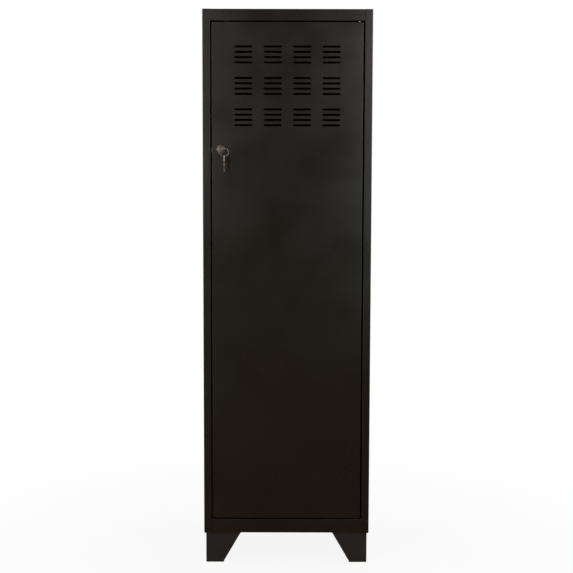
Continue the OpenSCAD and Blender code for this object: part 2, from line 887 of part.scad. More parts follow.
// The spare hangs edge on, with the ring's lowest point in its slot
module spare_key() {
    hang_z = ring_bottom_z + ring_wire_d / 2 + moving_gap - key_slot_w / 2;
    color(nickel) translate([ring_x, ring_y, hang_z]) rotate([0, 90, 0]) rotate([0, 0, -90])
        translate([0, key_neck_l + key_bow_l - ring_setback, 0]) key_blank();
}

// ---- the assembly ----

left_side_panel();
right_side_panel();
top_panel();
floor_panel();
back_panel();
back_rivets();
hat_shelf();
left_shelf_bracket();
right_shelf_bracket();
hanging_rail();
left_rail_socket();
right_rail_socket();
strike_plate();
upper_stop();
stop_rivet();
door_buffers();
lower_hinge_pin();
upper_hinge_pin();
hinge_washer();
front_left_foot();
front_right_foot();
rear_left_foot();
rear_right_foot();
foot_bolts();
foot_nuts();
foot_glides();
door_panel();
door_stiffener();
lower_hinge_bush();
upper_hinge_bush();
lock_barrel();
lock_nut();
lock_plug();
lock_cam();
cam_screw();
door_key();
key_ring();
spare_key();
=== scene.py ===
import json
import math
import bpy
import numpy as np
from mathutils import Matrix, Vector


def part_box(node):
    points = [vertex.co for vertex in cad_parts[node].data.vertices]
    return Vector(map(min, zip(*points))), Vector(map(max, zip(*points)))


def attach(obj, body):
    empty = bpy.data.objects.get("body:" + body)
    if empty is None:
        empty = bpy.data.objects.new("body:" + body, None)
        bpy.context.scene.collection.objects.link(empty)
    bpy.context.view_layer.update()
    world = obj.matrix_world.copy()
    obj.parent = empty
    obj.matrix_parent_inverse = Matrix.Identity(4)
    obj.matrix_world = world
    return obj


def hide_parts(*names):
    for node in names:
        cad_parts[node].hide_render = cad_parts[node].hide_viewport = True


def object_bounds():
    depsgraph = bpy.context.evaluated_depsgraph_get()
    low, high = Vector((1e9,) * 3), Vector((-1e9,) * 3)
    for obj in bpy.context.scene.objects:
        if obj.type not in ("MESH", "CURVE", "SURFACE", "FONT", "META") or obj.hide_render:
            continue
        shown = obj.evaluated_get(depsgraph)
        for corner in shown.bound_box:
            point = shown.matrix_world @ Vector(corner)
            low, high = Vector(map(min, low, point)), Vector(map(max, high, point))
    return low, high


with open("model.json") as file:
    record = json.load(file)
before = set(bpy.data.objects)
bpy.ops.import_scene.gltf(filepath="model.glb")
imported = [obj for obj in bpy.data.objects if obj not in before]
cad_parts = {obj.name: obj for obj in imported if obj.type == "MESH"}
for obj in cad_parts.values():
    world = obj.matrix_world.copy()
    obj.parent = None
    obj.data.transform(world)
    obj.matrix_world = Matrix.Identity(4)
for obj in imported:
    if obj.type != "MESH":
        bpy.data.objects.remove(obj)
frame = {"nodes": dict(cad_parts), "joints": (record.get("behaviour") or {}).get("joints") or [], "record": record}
cadLow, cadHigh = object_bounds()
record = frame["record"]
jointAt = {j["name"]: np.array(j["pos_m"]) for j in frame["joints"] if j["type"] == "hinge"}
mm = 0.001
xAxis, yAxis, zAxis = np.eye(3)
lockAt = jointAt["lock_turn"]  # on the face of the door, at the middle of the lock


def nodeBox(name):
    low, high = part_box(name)
    return np.array(low), np.array(high)


# Camera

cameraSettings = {
    "ahead": 3.416,  # from the face of the door
    "side": -0.003,
    "height": 1.157,
    "lens": 72.25,
    "pitch": -5.218,  # degrees, below level
    "yaw": -0.025,
    "roll": 0.136,
}


def makeCamera(s):
    data = bpy.data.cameras.new("view")
    data.lens = s["lens"]
    data.sensor_width = 36
    data.clip_end = 60
    camera = bpy.data.objects.new("view", data)
    turn = Matrix.Rotation(math.radians(s["yaw"]), 3, "Z")
    turn = turn @ Matrix.Rotation(math.radians(90 + s["pitch"]), 3, "X")
    turn = turn @ Matrix.Rotation(math.radians(s["roll"]), 3, "Z")
    camera.rotation_euler = turn.to_euler()
    camera.location = (s["side"], lockAt[1] - s["ahead"], s["height"])
    bpy.context.scene.collection.objects.link(camera)
    bpy.context.scene.camera = camera


makeCamera(cameraSettings)


# Shader groups shared by the finishes

def addNode(tree, kind, links=None, **settings):
    # A node with its settings; links gives its inputs a value or another node's output
    node = tree.nodes.new("ShaderNode" + kind)
    for key, value in settings.items():
        setattr(node, key, value)
    for key, value in (links or {}).items():
        if isinstance(value, bpy.types.NodeSocket):
            tree.links.new(value, node.inputs[key])
        else:
            node.inputs[key].default_value = value
    return node


def addMath(tree, operation, a, b=0.0, clamp=False):
    return addNode(tree, "Math", {0: a, 1: b}, operation=operation, use_clamp=clamp).outputs[0]


def addVector(tree, operation, a, b, output="Vector"):
    return addNode(tree, "VectorMath", {0: a, 1: b}, operation=operation).outputs[output]


def addRange(tree, value, low, high, toLow=0.0, toHigh=1.0):
    links = {"Value": value, "From Min": low, "From Max": high, "To Min": toLow, "To Max": toHigh}
    return addNode(tree, "MapRange", links, interpolation_type="SMOOTHSTEP").outputs[0]


def addMix(tree, share, a, b):
    node = addNode(tree, "Mix", {"Factor": share}, data_type="RGBA")
    for socket, value in zip((node.inputs[6], node.inputs[7]), (a, b)):
        if isinstance(value, bpy.types.NodeSocket):
            tree.links.new(value, socket)
        else:
            socket.default_value = (*value[:3], 1.0)
    return node.outputs[2]


def addNoise(tree, vector, scale, detail=3.0, rough=0.5):
    links = {"Vector": vector, "Scale": scale, "Detail": detail, "Roughness": rough}
    return addNode(tree, "TexNoise", links).outputs[0]


def newGroup(name, inputs, outputs):
    group = bpy.data.node_groups.new(name, "ShaderNodeTree")
    kinds = {"v": "NodeSocketVector", "f": "NodeSocketFloat", "c": "NodeSocketColor"}
    for label, kind, value in inputs:
        socket = group.interface.new_socket(name=label, in_out="INPUT", socket_type=kinds[kind])
        if value is not None:
            socket.default_value = value
    for label, kind in outputs:
        group.interface.new_socket(name=label, in_out="OUTPUT", socket_type=kinds[kind])
    given, result = group.nodes.new("NodeGroupInput"), group.nodes.new("NodeGroupOutput")
    return group, given.outputs, result.inputs


def makeOrangePeel():
    # The small waves of sprayed and baked powder, on a finer grit; Mottle varies slowly over a panel
    group, given, result = newGroup(
        "orangePeel",
        [("Vector", "v", None), ("Wave", "f", 420.0), ("Grit", "f", 2600.0), ("Grit Share", "f", 0.3)],
        [("Height", "f"), ("Mottle", "f")])
    wave = addNoise(group, given["Vector"], given["Wave"], 2.0, 0.4)
    grit = addNoise(group, given["Vector"], given["Grit"], 1.0)
    grit = addMath(group, "MULTIPLY", grit, given["Grit Share"])
    group.links.new(addMath(group, "ADD", wave, grit), result["Height"])
    mottle = addNoise(group, given["Vector"], 5.0, 4.0, 0.6)
    group.links.new(addRange(group, mottle, 0.3, 0.7), result["Mottle"])
    return group


def makeSettledDust():
    # More on what faces up, and gathered in soft patches
    group, given, result = newGroup(
        "settledDust", [("Vector", "v", None), ("Patch", "f", 24.0), ("Amount", "f", 0.5)], [("Mask", "f")])
    normal = addNode(group, "NewGeometry").outputs["Normal"]
    facing = addRange(group, addNode(group, "SeparateXYZ", {0: normal}).outputs["Z"], 0.5, 1.0)
    patch = addRange(group, addNoise(group, given["Vector"], given["Patch"], 5.0, 0.65), 0.3, 0.75)
    mask = addMath(group, "MULTIPLY", facing, patch)
    group.links.new(addMath(group, "MULTIPLY", mask, given["Amount"], clamp=True), result["Mask"])
    return group


def makeCornerRub():
    # Rubbed where two faces of a box meet: close to two of the box's six planes at once
    group, given, result = newGroup(
        "cornerRub",
        [("Vector", "v", None), ("Low", "v", None), ("High", "v", None), ("Width", "f", 0.0025),
         ("Breakup", "f", 90.0)],
        [("Mask", "f")])
    low = addVector(group, "SUBTRACT", given["Vector"], given["Low"])
    high = addVector(group, "SUBTRACT", given["High"], given["Vector"])
    near = addVector(group, "MINIMUM", low, high)
    x, y, z = addNode(group, "SeparateXYZ", {0: near}).outputs
    pairs = [addMath(group, "MAXIMUM", a, b) for a, b in ((x, y), (y, z), (x, z))]
    closest = addMath(group, "MINIMUM", addMath(group, "MINIMUM", pairs[0], pairs[1]), pairs[2])
    patchy = addNoise(group, given["Vector"], given["Breakup"], 4.0, 0.7)
    patchy = addRange(group, patchy, 0.42, 0.62, 0.1, 1.0)
    edge = addRange(group, addMath(group, "DIVIDE", closest, given["Width"]), 0.0, 1.0, 1.0, 0.0)
    group.links.new(addMath(group, "MULTIPLY", edge, patchy), result["Mask"])
    return group


def makeHandMarks():
    # Faint greasy smears round a point, where the door is held and the key is turned
    group, given, result = newGroup(
        "handMarks", [("Vector", "v", None), ("Centre", "v", None), ("Reach", "f", 0.16)], [("Mask", "f")])
    away = addVector(group, "DISTANCE", given["Vector"], given["Centre"], "Value")
    near = addRange(group, addMath(group, "DIVIDE", away, given["Reach"]), 0.1, 1.0, 1.0, 0.0)
    smear = addRange(group, addNoise(group, given["Vector"], 38.0, 6.0, 0.6), 0.45, 0.75)
    group.links.new(addMath(group, "MULTIPLY", near, smear), result["Mask"])
    return group


def makeDrawLines():
    # Fine parallel lines left by drawing, turning or brushing, long where Stretch is small
    group, given, result = newGroup(
        "drawLines", [("Vector", "v", None), ("Stretch", "v", None)], [("Lines", "f"), ("Cloud", "f")])
    vector = addVector(group, "MULTIPLY", given["Vector"], given["Stretch"])
    group.links.new(addNoise(group, vector, 1.0, 4.0, 0.6), result["Lines"])
    group.links.new(addNoise(group, given["Vector"], 160.0, 4.0, 0.6), result["Cloud"])
    return group


groups = {
    "peel": makeOrangePeel(),
    "dust": makeSettledDust(),
    "rub": makeCornerRub(),
    "marks": makeHandMarks(),
    "lines": makeDrawLines(),
}


# Finishes

def newFinish(name, **values):
    material = bpy.data.materials.new(name)
    material.use_nodes = True
    tree = material.node_tree
    shader = tree.nodes["Principled BSDF"]
    for key, value in values.items():
        shader.inputs[key.replace("_", " ")].default_value = value
    at = addNode(tree, "TexCoord").outputs["Object"]
    return material, tree, shader, at


def useGroup(tree, name, vector, **values):
    node = addNode(tree, "Group", node_tree=groups[name])
    tree.links.new(vector, node.inputs["Vector"])
    for key, value in values.items():
        node.inputs[key.replace("_", " ")].default_value = value
    return node.outputs


def addBump(tree, shader, height, distance, strength=1.0):
    bump = addNode(tree, "Bump", {"Height": height, "Distance": distance, "Strength": strength})
    tree.links.new(bump.outputs[0], shader.inputs["Normal"])


coatSettings = {
    "colour": (0.0100, 0.0080, 0.0066),
    "mottled": (0.0118, 0.0094, 0.0078),
    "bare": (0.060, 0.055, 0.050),
    "dust": (0.11, 0.105, 0.095),
    "roughness": (0.27, 0.33),
    "dustRoughness": 0.4,  # added where dust lies
    "greaseRoughness": 0.07,  # added where the door is handled
    "roughest": 0.85,
    "waveDepth": 0.00003,
}


def makeCoat(name, box, s, breakup=90.0, width=0.0022, rubbed=0.5, marks=None, dust=0.09):
    material, tree, shader, at = newFinish(name, Specular_IOR_Level=0.5)
    peel = useGroup(tree, "peel", at)
    rub = useGroup(tree, "rub", at, Low=box[0], High=box[1], Width=width, Breakup=breakup)["Mask"]
    rub = addMath(tree, "MULTIPLY", rub, rubbed)
    dusty = useGroup(tree, "dust", at, Amount=dust)["Mask"]
    colour = addMix(tree, peel["Mottle"], s["colour"], s["mottled"])
    colour = addMix(tree, dusty, addMix(tree, rub, colour, s["bare"]), s["dust"])
    tree.links.new(colour, shader.inputs["Base Color"])
    rough = addRange(tree, peel["Mottle"], 0.0, 1.0, *s["roughness"])
    rough = addMath(tree, "ADD", rough, addMath(tree, "MULTIPLY", dusty, s["dustRoughness"]))
    if marks is not None:
        greasy = useGroup(tree, "marks", at, Centre=marks)["Mask"]
        rough = addMath(tree, "ADD", rough, addMath(tree, "MULTIPLY", greasy, s["greaseRoughness"]))
    tree.links.new(addMath(tree, "MINIMUM", rough, s["roughest"]), shader.inputs["Roughness"])
    addBump(tree, shader, peel["Height"], s["waveDepth"])
    return material


def makePlated(name, colour, tinted, roughness, stretch, depth, metallic=1.0):
    # Plating whose colour drifts a little, with the lines of the metal under it
    material, tree, shader, at = newFinish(name, Metallic=metallic)
    lines = useGroup(tree, "lines", at, Stretch=stretch)
    tint = addRange(tree, lines["Cloud"], 0.45, 0.7)
    tree.links.new(addMix(tree, tint, colour, tinted), shader.inputs["Base Color"])
    tree.links.new(addRange(tree, lines["Lines"], 0.3, 0.7, *roughness), shader.inputs["Roughness"])
    addBump(tree, shader, lines["Lines"], depth)
    return material


def makeKeyNickel():
    # Nickel worn through to brass along the edges that the rub attribute marks
    material, tree, shader, at = newFinish("key_nickel", Metallic=1.0)
    lines = useGroup(tree, "lines", at, Stretch=(900.0, 120.0, 900.0))
    rub = addNode(tree, "Attribute", attribute_name="rub").outputs["Fac"]
    broken = addRange(tree, lines["Cloud"], 0.35, 0.7, 0.15, 0.8)
    worn = addMath(tree, "MULTIPLY", rub, broken, clamp=True)
    nickel = addMix(tree, lines["Cloud"], (0.52, 0.45, 0.43), (0.60, 0.53, 0.51))
    tree.links.new(addMix(tree, worn, nickel, (0.46, 0.31, 0.20)), shader.inputs["Base Color"])
    tree.links.new(addRange(tree, lines["Lines"], 0.3, 0.7, 0.22, 0.38), shader.inputs["Roughness"])
    addBump(tree, shader, lines["Lines"], 0.000012)
    return material


def makeMoulded(name, colour, paler, roughness, grain, depth, dust=0.0):
    # Moulded plastic or rubber with a fine spark-eroded grain
    material, tree, shader, at = newFinish(name)
    peel = useGroup(tree, "peel", at, Wave=grain, Grit=grain * 4, Grit_Share=0.5)
    colours = addMix(tree, peel["Mottle"], colour, paler)
    if dust:
        dusty = useGroup(tree, "dust", at, Amount=dust)["Mask"]
        colours = addMix(tree, dusty, colours, coatSettings["dust"])
    tree.links.new(colours, shader.inputs["Base Color"])
    tree.links.new(addRange(tree, peel["Mottle"], 0.0, 1.0, *roughness), shader.inputs["Roughness"])
    addBump(tree, shader, peel["Height"], depth)
    return material


doorBox = nodeBox("door_panel")
leftBox, rightBox = nodeBox("left_side_panel"), nodeBox("right_side_panel")
bodyBox = np.minimum(leftBox[0], rightBox[0]), np.maximum(leftBox[1], rightBox[1])
footBox = (np.array([cadLow[0], doorBox[0][1], cadLow[2]]),
           np.array([cadHigh[0], cadHigh[1], bodyBox[0][2]]))
handledAt = lockAt + [0.02, 0, -0.03]
footSettings = dict(coatSettings, colour=(0.024, 0.0225, 0.0245), mottled=(0.028, 0.026, 0.028))
bodyCoat = makeCoat("powder_coat_body", bodyBox, coatSettings)
doorCoat = makeCoat("powder_coat_door", doorBox, coatSettings, marks=handledAt)
innerCoat = makeCoat("powder_coat_inside", bodyBox, coatSettings, rubbed=0.0, dust=0.3)
platedSettings = {
    "chromed_rail": {
        "colour": (0.60, 0.61, 0.62), "tinted": (0.66, 0.66, 0.66), "roughness": (0.07, 0.16),
        "stretch": (30.0, 900.0, 900.0), "depth": 0.000004},
    "zinc_plate": {
        "colour": (0.52, 0.52, 0.51), "tinted": (0.60, 0.57, 0.48), "roughness": (0.28, 0.44),
        "stretch": (500.0, 500.0, 500.0), "depth": 0.00002},
    "rivet_aluminium": {
        "colour": (0.72, 0.72, 0.71), "tinted": (0.66, 0.66, 0.66), "roughness": (0.30, 0.45),
        "stretch": (700.0, 700.0, 700.0), "depth": 0.00001},
    "lock_nickel": {
        "colour": (0.24, 0.225, 0.215), "tinted": (0.18, 0.165, 0.155), "roughness": (0.22, 0.36),
        "stretch": (800.0, 800.0, 800.0), "depth": 0.00001},
    "strike_zinc": {
        "colour": (0.85, 0.85, 0.84), "tinted": (0.78, 0.78, 0.75), "roughness": (0.40, 0.55),
        "stretch": (500.0, 500.0, 500.0), "depth": 0.00002, "metallic": 0.35},
    "ring_steel": {
        "colour": (0.36, 0.36, 0.35), "tinted": (0.30, 0.30, 0.29), "roughness": (0.24, 0.38),
        "stretch": (600.0, 600.0, 600.0), "depth": 0.00001},
}
mouldedSettings = {
    "nylon": {
        "colour": (0.016, 0.016, 0.016), "paler": (0.024, 0.024, 0.023), "roughness": (0.38, 0.5),
        "grain": 500.0, "depth": 0.00003},
    "black_rubber": {
        "colour": (0.012, 0.012, 0.012), "paler": (0.020, 0.020, 0.020), "roughness": (0.6, 0.75),
        "grain": 900.0, "depth": 0.00005},
    "black_glide": {
        "colour": (0.014, 0.014, 0.014), "paler": (0.022, 0.022, 0.021), "roughness": (0.42, 0.55),
        "grain": 700.0, "depth": 0.00004, "dust": 0.1},
}
finishes = {
    "powder_coat": bodyCoat,
    "foot_coat": makeCoat("foot_coat", footBox, footSettings, breakup=140.0, width=0.02, rubbed=0.12),
    "painted_rivet": makeCoat("painted_rivet", bodyBox, coatSettings, width=0.0, rubbed=0.0),
    "key_nickel": makeKeyNickel(),
}
for name, settings in platedSettings.items():
    finishes[name] = makePlated(name, **settings)
for name, settings in mouldedSettings.items():
    finishes[name] = makeMoulded(name, **settings)
coatOf = {
    "door_panel": doorCoat,
    "door_stiffener": innerCoat,
    "hat_shelf": innerCoat,
    "left_shelf_bracket": innerCoat,
    "right_shelf_bracket": innerCoat,
}
for part in record["subparts"]:
    node = frame["nodes"][part["node"]]
    for holder in node.material_slots:
        holder.material = coatOf.get(part["node"], finishes[part["material_slot"]])
print("finishes:", len(finishes) + len(set(coatOf.values())))


# Surfaces

def circleOf(count):
    return np.linspace(0, 2 * np.pi, count, endpoint=False)


def rounded(points, radii, steps=4, closed=False):
    # Each corner is replaced by an arc of its radius that touches both of its straight sides
    points = np.asarray(points, float)
    radii = np.broadcast_to(np.asarray(radii, float), len(points)).copy()
    if not closed:
        radii[[0, -1]] = 0
    before = np.roll(points, 1, 0) - points
    after = np.roll(points, -1, 0) - points
    before /= np.linalg.norm(before, axis=1)[:, None] + 1e-12
    after /= np.linalg.norm(after, axis=1)[:, None] + 1e-12
    half = np.arccos(np.clip((before * after).sum(1), -0.9999, 0.9999)) / 2
    middle = before + after
    middle /= np.linalg.norm(middle, axis=1)[:, None] + 1e-12
    centre = points + middle * (radii / np.sin(half))[:, None]
    sweep = np.linspace(-1, 1, steps)[None, :] * (np.pi / 2 - half)[:, None]
    across = after - middle * (after * middle).sum(1)[:, None]
    across /= np.linalg.norm(across, axis=1)[:, None] + 1e-12
    arc = -np.cos(sweep)[..., None] * middle[:, None] + np.sin(sweep)[..., None] * across[:, None]
    loop = (centre[:, None] + arc * radii[:, None, None]).reshape(-1, 2)
    keep = np.linalg.norm(loop - np.roll(loop, 1, 0), axis=1) > 1e-7
    keep[0] = True
    return loop[keep]


def resampled(loop, count):
    # Points spaced evenly along a closed outline
    ends = np.vstack([loop, loop[:1]])
    along = np.concatenate([[0], np.cumsum(np.linalg.norm(np.diff(ends, axis=0), axis=1))])
    at = np.linspace(0, along[-1], count, endpoint=False)
    return np.stack([np.interp(at, along, ends[:, 0]), np.interp(at, along, ends[:, 1])], 1)


def inset(loop, distance):
    # Every point moves in, square to the line between its two neighbours; the outline runs anticlockwise
    along = np.roll(loop, -1, 0) - np.roll(loop, 1, 0)
    along /= np.linalg.norm(along, axis=1)[:, None] + 1e-12
    return loop + distance * np.stack([-along[:, 1], along[:, 0]], 1)


def shell(rows, closed=False, ends=None):
    # A grid whose rows close on themselves; its first and last rows are joined, or a point closes each end
    rows = np.asarray(rows, float)
    count, width = rows.shape[:2]
    i = np.arange(count if closed else count - 1)[:, None]
    j = np.arange(width)[None, :]
    k, l = (i + 1) % count, (j + 1) % width
    quads = np.stack([i * width + j, i * width + l, k * width + l, k * width + j], -1).reshape(-1, 4)
    points = rows.reshape(-1, 3)
    fans = np.zeros((0, 3), int)
    if not closed:
        ends = (rows[0].mean(0), rows[-1].mean(0)) if ends is None else ends
        first, last = len(points), len(points) + 1
        j, l = j[0], l[0]
        start = (count - 1) * width
        fans = np.vstack([np.stack([np.full(width, first), l, j], 1),
                          np.stack([np.full(width, last), start + j, start + l], 1)])
        points = np.vstack([points, np.asarray(ends)])
    split = np.vstack([quads[:, [0, 1, 2]], quads[:, [0, 2, 3]], fans])
    a, b, c = (points[split[:, n]] - points.mean(0) for n in range(3))
    if (a * np.cross(b, c)).sum() < 0:  # turned so that faces point outwards
        quads, fans = quads[:, ::-1], fans[:, ::-1]
    return points, quads, fans


def sideways(axis):
    # Two directions square to an axis and to each other
    first = np.cross(axis, yAxis if abs(axis[1]) < 0.9 else zAxis)
    first /= np.linalg.norm(first)
    return first, np.cross(axis, first)


def placed(a, b, c, origin, axes):
    # Local distances in millimetres, along three axes from an origin
    a, b, c = np.broadcast_arrays(a, b, c)
    away = a[..., None] * axes[0] + b[..., None] * axes[1] + c[..., None] * axes[2]
    return np.asarray(origin) + mm * away


def around(radius, angle, level, origin, axes):
    # Round the third axis, starting from the first
    return placed(radius * np.cos(angle), radius * np.sin(angle), level, origin, axes)


def turned(profile, origin, axis, count=48, bored=False):
    # A profile of radius and height carried round an axis; a solid one starts and ends on the axis
    profile = np.asarray(profile, float)
    u, v = sideways(axis)
    inner = profile if bored else profile[1:-1]
    rows = around(inner[:, :1], circleOf(count)[None, :], inner[:, 1:], origin, (u, v, axis))
    if bored:
        return shell(rows, closed=True)
    return shell(rows, ends=[origin + mm * profile[0, 1] * axis, origin + mm * profile[-1, 1] * axis])


def domeHeight(r, radius, height):
    # A circular arc, at its full height on the axis and at zero at the radius
    ball = (radius ** 2 + height ** 2) / (2 * height)
    return height - ball + np.sqrt(np.maximum(ball ** 2 - r ** 2, 0))


def domeProfile(radius, height, steps=10):
    # Half of a lens cut through, from the top on the axis to the rim
    r = radius * np.sin(np.linspace(0, np.pi / 2, steps))
    return np.stack([r, domeHeight(r, radius, height)], 1)


def addPiece(name, body, shells, finish, replaced, crease=35, rub=None):
    # crease is in degrees; the slot has the finish's name
    sizes = np.cumsum([0] + [len(points) for points, quads, fans in shells])
    points = np.vstack([points for points, quads, fans in shells])
    faces = []
    for start, (own, quads, fans) in zip(sizes, shells):
        faces += (quads + start).tolist() + (fans + start).tolist()
    mesh = bpy.data.meshes.new(name)
    mesh.from_pydata(points.tolist(), [], faces)
    mesh.shade_smooth()
    mesh.set_sharp_from_angle(angle=math.radians(crease))
    if rub is not None:
        worn = mesh.attributes.new("rub", "FLOAT", "POINT")
        worn.data.foreach_set("value", np.asarray(rub, np.float32))
    mesh.materials.append(finishes[finish])
    piece = bpy.data.objects.new(name, mesh)
    bpy.context.scene.collection.objects.link(piece)
    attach(piece, body)
    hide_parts(*replaced)
    print("made", name, len(mesh.polygons), "faces")


def hexRadius(angle, flats):
    # Distance from the middle of a hexagon to its side, whose flats are this far apart
    return flats / 2 / np.cos((angle + np.pi / 6) % (np.pi / 3) - np.pi / 6)


def threadWave(level, angle, pitch):
    # Between 0 and 1, climbing one pitch each turn
    return np.abs(2 * ((level / pitch - angle / (2 * np.pi)) % 1.0) - 1)


def hexNut(origin, axis, flats, height, bore, pitch=1.0, count=72):
    # A hexagon cut by a cone at both ends, so each flat is bounded by a curve, round a threaded bore
    coneShare, coneSlope, lead, threadDepth = 0.955, math.tan(math.radians(28)), 0.35, 0.28
    u, v = sideways(axis)
    angle = circleOf(count)
    wide = hexRadius(angle + np.pi / 6, flats)
    flat = np.full(count, flats / 2 * coneShare)
    mouth = np.full(count, bore + lead)
    slope = (wide - flat) * coneSlope
    thread = np.linspace(height - lead, lead, 4 * max(2, round((height - 2 * lead) / pitch)))[:, None]
    inside = bore + threadDepth * threadWave(thread, -angle, pitch)
    bottom, top = np.zeros(count), np.full(count, height)
    radius = np.array([wide, wide, flat, mouth, *inside, mouth, flat])
    level = np.array([slope, height - slope, top, top, *(thread + 0 * angle), bottom, bottom])
    return shell(around(radius, angle, level, origin, (u, v, axis)), closed=True)


def crossHead(origin, axis, radius, height, reach, rings=26, count=64, below=None):
    # A domed head lowered by two crossing slots with sloping walls; below is the shank's radius and length
    u, v = sideways(axis)
    shank, length = below
    tip = 0.4
    slotDeep = 0.62 * height
    angle = circleOf(count)[None, :]
    r = radius * np.linspace(0.03, 1, rings)[:, None]
    a, b = np.abs(r * np.cos(angle)), np.abs(r * np.sin(angle))
    slotWide = np.clip((0.16 * radius - np.minimum(a, b)) / (0.07 * radius), 0, 1)
    slotLong = np.clip((reach * radius - np.maximum(a, b)) / (0.12 * radius), 0, 1)
    level = domeHeight(r, radius, height) - slotDeep * slotWide * slotLong
    radii = np.vstack([r, [[shank], [shank], [shank - tip]]])
    levels = np.vstack([level, np.repeat([[0.0], [tip - length], [-length]], count, axis=1)])
    rows = around(radii, angle, levels, origin, (u, v, axis))
    return shell(rows, ends=[origin + mm * (height - slotDeep) * axis, origin - mm * length * axis])


def threadedRod(origin, axis, radius, length, pitch=1.0, count=28):
    # A rod whose radius falls by a triangle wave that climbs one pitch each turn
    u, v = sideways(axis)
    angle = circleOf(count)[None, :]
    level = np.linspace(0, length, int(length / pitch * 8))[:, None]
    depth = 0.3 * pitch * threadWave(level, angle, pitch)
    lead = np.clip(np.abs(level - length / 2) - length / 2 + 0.6, 0, 1)
    return shell(around(np.minimum(radius - depth, radius - lead), angle, level, origin, (u, v, axis)))


def holedPlate(outer, hole, low, high, chamfer, origin, axes, fade=1.2):
    # A plate between an outline and a hole, its edges softened; share says how near the outer edge a point is
    ease = chamfer * 0.3
    rim, middle = inset(hole, -chamfer), inset(outer, fade + chamfer)
    edge, eased = inset(outer, chamfer), inset(outer, ease)
    loops = [(hole, high - chamfer, 0), (rim, high, 0), (middle, high, 0), (edge, high, 1),
             (eased, high - ease, 1), (outer, high - chamfer, 0.8), (outer, low + chamfer, 0.8),
             (eased, low + ease, 1), (edge, low, 1), (middle, low, 0), (rim, low, 0),
             (hole, low + chamfer, 0)]
    rows = [placed(loop[:, 0], loop[:, 1], level, origin, axes) for loop, level, share in loops]
    return shell(rows, closed=True), np.repeat([share for loop, level, share in loops], len(outer))


def seenFrom(centre, outer, hole):
    # The hole's outline met by a ray towards each point of the outer outline
    rays = np.arctan2(outer[:, 1] - centre[1], outer[:, 0] - centre[0])
    toHole = np.arctan2(hole[:, 1] - centre[1], hole[:, 0] - centre[0])
    reach = np.hypot(hole[:, 0] - centre[0], hole[:, 1] - centre[1])
    far = np.interp(rays, *(np.array(x)[np.argsort(toHole)] for x in (toHole, reach)), period=2 * np.pi)
    return np.stack([centre[0] + far * np.cos(rays), centre[1] + far * np.sin(rays)], 1)


# Lock

lockSettings = {
    "faceRadius": 12.5, "faceHeight": 3.0, "dish": (7.9, 8.3, 10.4, 10.8), "dishDepth": 0.35,
    "barrelRadius": 9.5, "barrelFlat": 8.0, "barrelEnd": -23.0, "threadPitch": 1.0, "threadDepth": 0.3,
    "plugRadius": 6.5, "plugHeight": 2.6, "plugEnd": -23.3, "fit": 0.06,
    "groove": (5.6, 5.5, 5.2, 5.1), "grooveDepth": 0.08, "boss": 7.0, "bossEnd": -25.2,
    "keyway": (8.4, 2.6), "keywayEnd": -18.0, "keywayLead": 0.3,
    "nutFlats": 23.0, "nutHeight": 5.0, "nutBore": 9.6, "nutBack": -6.0,
}
camSettings = {
    "halfWidth": 7.5, "reach": 26.0, "corner": 2.0, "hole": 7.2, "thick": 2.0, "chamfer": 0.3,
    "screwRadius": 6.0, "screwHeight": 2.4, "screwSlot": 0.62, "screwShank": (1.9, 6.0),
}
outward = -yAxis  # out of the door


def lockBarrel(s):
    # Turned bezel with a shallow dished ring, then a barrel whose thread is cut away by two flats
    bore, face, rim, barrel = s["plugRadius"] + s["fit"], s["faceHeight"], s["faceRadius"], s["barrelRadius"]
    pitch = s["threadPitch"]
    dish, dished = s["dish"], face - s["dishDepth"]
    levels = np.arange(-0.4, s["barrelEnd"] + 0.4, -pitch / 6)
    front = rounded([(bore, face - 0.25), (bore + 0.25, face), (dish[0], face), (dish[1], dished),
                     (dish[2], dished), (dish[3], face), (rim, face), (rim, 0.0), (barrel, 0.0)],
                    [0, 0.05, 0.15, 0.15, 0.15, 0.2, 1.0, 0.15, 0], 5)
    shank = np.stack([np.full(len(levels), barrel), levels], 1)
    end = np.array([(barrel - 0.5, s["barrelEnd"]), (bore, s["barrelEnd"])])
    profile = np.vstack([front, shank, end])
    angle = circleOf(96)[None, :]
    level = profile[:, 1:]
    row = np.arange(len(profile))[:, None]
    isShank = (row >= len(front)) & (row < len(front) + len(levels))
    r = profile[:, :1] - s["threadDepth"] * pitch * threadWave(level, angle, pitch) * isShank
    a, b = r * np.cos(angle), r * np.sin(angle)
    b = np.where(row >= len(front) - 1, np.clip(b, -s["barrelFlat"], s["barrelFlat"]), b)
    return shell(placed(a, b, level, lockAt, (xAxis, zAxis, outward)), closed=True)


def rectangleLoop(angle, halfA, halfB):
    # A rectangle met by rays from its middle
    reachA = halfA / np.maximum(np.abs(np.cos(angle)), 1e-9)
    reachB = halfB / np.maximum(np.abs(np.sin(angle)), 1e-9)
    reach = np.minimum(reachA, reachB)
    return np.array([reach * np.cos(angle), reach * np.sin(angle)])


